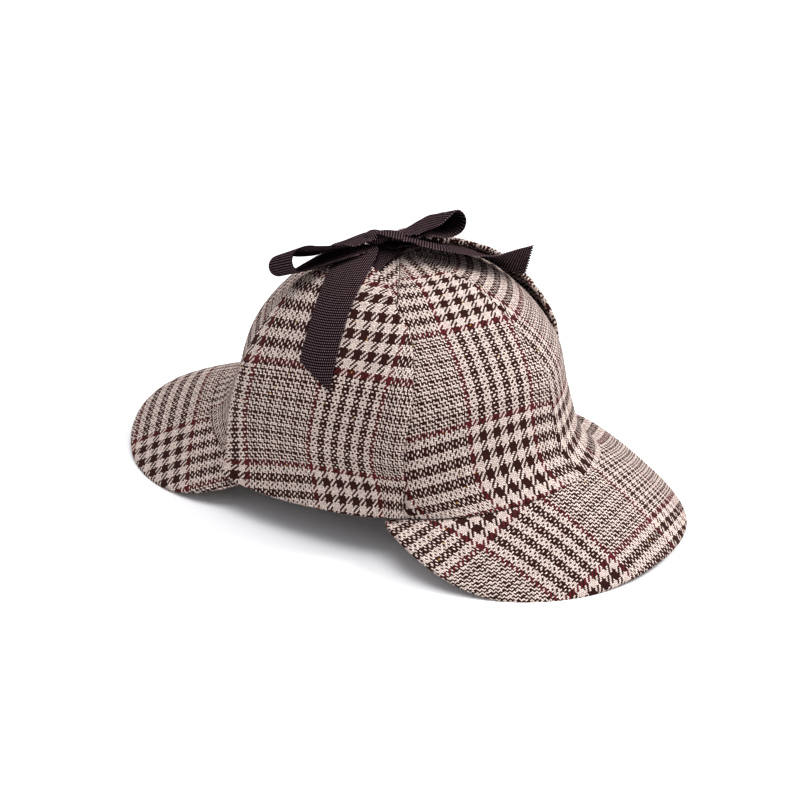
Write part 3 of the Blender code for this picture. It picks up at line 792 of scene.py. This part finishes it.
def strip(name, node, centre, heading, roll, width, teeth=0.0):
    """A ribbon along a line of centre points, level across but for its roll about its heading.

    With teeth, its last stretch is pulled back along the ribbon by a triangle wave across it.
    """
    roll = np.radians(roll)
    across = np.stack([-np.sin(heading) * np.cos(roll), np.cos(heading) * np.cos(roll), -np.sin(roll)],
                      axis=-1)
    share = RIBBON_ACROSS - 0.5
    middle = centre[:, None, :] + across[:, None, :] * (width[:, None] * share)[..., None]
    run = np.concatenate([[0.0], np.cumsum(np.linalg.norm(np.diff(centre, axis=0), axis=1))])
    tangent = unit(np.gradient(centre, axis=0))
    wave = np.abs(2.0 * np.mod(share * RIBBON_WIDTH / TOOTH_PITCH, 1.0) - 1.0)
    near_end = np.clip(1.0 - (run[-1] - run) / (3.0 * TOOTH_DEPTH), 0.0, 1.0)
    middle = middle - tangent[:, None, :] * (teeth * near_end[:, None] * wave)[..., None]
    faces = unit(np.cross(np.gradient(middle, axis=0), np.gradient(middle, axis=1)))
    return ribbon_shell(name, node, middle, faces, run[:, None], width[:, None])


def bow_loop(node, heading, square, table):
    """A loop: out from the knot below, round its end, and back above, on its heading."""
    row = spline(table, LOOP_ROWS)
    turn = math.radians(heading)
    out = np.stack([row["out"] * math.cos(turn), row["out"] * math.sin(turn), row["rise"]], axis=-1)
    centre = KNOT_CENTRE + out
    return strip("ribbon_" + node, node, centre, math.radians(square) + 0.0 * row["out"], row["roll"],
                 RIBBON_WIDTH * row["width"])


def free_tail(node):
    """The tail that stands out over the front and twists on its way to its pinked end."""
    row = spline(FREE_TAIL, TAIL_ROWS)
    centre = np.stack([row["x"], row["y"], row["z"]], axis=-1)
    tangent = np.gradient(centre, axis=0)
    heading = np.arctan2(tangent[:, 1], tangent[:, 0])
    return strip("ribbon_standing_tail", node, centre, heading, row["roll"], row["width"],
                 TOOTH_DEPTH)


def laid_ribbon(name, node, table):
    """A ribbon on the crown or on a flap: a level band whose points are laid on the crown's curve."""
    row = spline(table, LAID_ROWS)
    centre = np.stack([row["x"], row["y"], row["z"]], axis=-1)
    tangent = np.gradient(centre, axis=0)
    across = unit(np.stack([-tangent[:, 1], tangent[:, 0], 0.0 * tangent[:, 0]], axis=-1))
    share = RIBBON_ACROSS - 0.5
    points = centre[:, None, :] + across[:, None, :] * (row["width"][:, None] * share)[..., None]
    slant = row.get("slant", 0.0 * row["x"])[:, None] * (share + 0.5)
    points += unit(tangent)[:, None, :] * slant[..., None]
    off = row["off"][:, None] + 0.5 * RIBBON_WALL + 0.0 * share
    middle = lay_on_crown(points, off)
    face = unit(lay_on_crown(points, off + 1.0) - middle)
    run = run_along(middle, 0)
    return ribbon_shell(name, node, middle, face, run, row["width"][:, None])


def knot(node):
    """The pulled knot: an egg along the loops, whose round swells and sinks as a sine with each fold."""
    turn = math.radians(KNOT_HEADING)
    around = np.linspace(0.0, 2.0 * math.pi, 73)[:-1]
    along = np.linspace(0.0, math.pi, 41)
    a, b = np.meshgrid(around, along)
    swell = 1.0 + KNOT_SWELL * np.sin(KNOT_FOLDS * a + 2.0 * np.sin(b)) * np.sin(b) ** 2
    x, y, z = (KNOT_HALF[0] * np.cos(b), KNOT_HALF[1] * np.sin(b) * np.cos(a) * swell,
               KNOT_HALF[2] * np.sin(b) * np.sin(a) * swell)
    points = np.stack([x * math.cos(turn) - y * math.sin(turn), x * math.sin(turn) + y * math.cos(turn), z],
                      axis=-1) + KNOT_CENTRE
    index = np.arange(a.size).reshape(a.shape)
    index = np.concatenate([index, index[:, :1]], axis=1)
    flat = 6.0 * np.stack([a, b], axis=-1).reshape(-1, 2)
    piece = mesh_piece("ribbon_knot", points.reshape(-1, 3), grid_faces(index), flat)
    return dress(piece, node, RIBBON)


GORES = ("front_left", "side_left", "back_left", "back_right", "side_right", "front_right")
for number, where in enumerate(GORES):
    gore("crown_gore_" + where, number)
for node, crescent in PEAKS.items():
    peak(node, **crescent)
for node, flap in FLAPS.items():
    ear_flap(node, *flap)
knot("bow_knot")
for node, loop in LOOPS.items():
    bow_loop(node, *loop)
free_tail("ribbon_tail_left")
laid_ribbon("ribbon_hanging_tail", "ribbon_tail_right", HANGING_TAIL)
for node, band in ROOTS.items():
    laid_ribbon(node.replace("root", "band"), node, band)

# ---------------------------------------------------------------------------------------------------
# Table, light and camera
# ---------------------------------------------------------------------------------------------------

TABLE_SIZE = 6000.0


def lay_table():
    """A wide white board with its top at z = 0."""
    half = 0.5 * TABLE_SIZE
    points = np.array([(-half, -half, 0.0), (half, -half, 0.0), (half, half, 0.0), (-half, half, 0.0)])
    piece = mesh_piece("table", points, np.array([[0, 1, 2, 3]]), np.zeros((4, 2)))
    piece.data.materials.append(BOARD)


def aim(holder, place, back, right):
    """Sets an object's place and turn from its backward and rightward directions, in metres."""
    back, right = unit(np.asarray(back, dtype=float)), unit(np.asarray(right, dtype=float))
    turn = np.column_stack([right, np.cross(back, right), back])
    rows = [[*row, at] for row, at in zip(turn.tolist(), place)]
    holder.matrix_world = Matrix(rows + [[0.0, 0.0, 0.0, 1.0]])
    bpy.context.scene.collection.objects.link(holder)


def soft_light(name, place, target, size, power):
    """A square white area light that looks at a point, in metres and watts."""
    data = bpy.data.lights.new(name, "AREA")
    data.shape, data.size, data.energy = "SQUARE", size, power
    back = np.array(place) - np.array(target)
    aim(bpy.data.objects.new(name, data), place, back, np.cross((0.0, 0.0, 1.0), back))


def studio():
    """A white room, a large light above and one from the wearer's left front."""
    world = bpy.data.worlds.new("white studio")
    world.use_nodes = True
    room = world.node_tree.nodes["Background"]
    room.inputs["Color"].default_value, room.inputs["Strength"].default_value = linear("#f9f9ff"), 0.57
    scene = bpy.context.scene
    scene.world = world
    scene.view_settings.view_transform = "Standard"
    soft_light("overhead", place=(-0.15, -0.1, 1.4), target=(0.0, 0.0, 0.05), size=0.9, power=13.5)
    soft_light("key", place=(0.66, -0.84, 1.04), target=(0.0, 0.0, 0.06), size=0.7, power=22.0)


# Degrees round from the front and up, and millimetres.
CAMERA = dict(azimuth=-54.4, elevation=26.0, distance=1100.0, lens=100.44, shift_right=-0.24,
              shift_up=-15.65, height=60.0)


def camera(azimuth, elevation, distance, lens, shift_right, shift_up, height):
    """A camera that looks at the hat's axis from an azimuth round it and an elevation above it."""
    a, e = math.radians(azimuth), math.radians(elevation)
    back = np.array((math.sin(a) * math.cos(e), -math.cos(a) * math.cos(e), math.sin(e)))
    right = np.array((math.cos(a), math.sin(a), 0.0))
    up = np.cross(back, right)
    place = (np.array((0.0, 0.0, height)) + shift_right * right + shift_up * up + distance * back) * MM
    data = bpy.data.cameras.new("camera")
    data.lens, data.sensor_width, data.clip_start, data.clip_end = lens, 36.0, 0.05, 20.0
    view = bpy.data.objects.new("camera", data)
    aim(view, place, back, right)
    bpy.context.scene.camera = view


lay_table()
studio()
camera(**CAMERA)
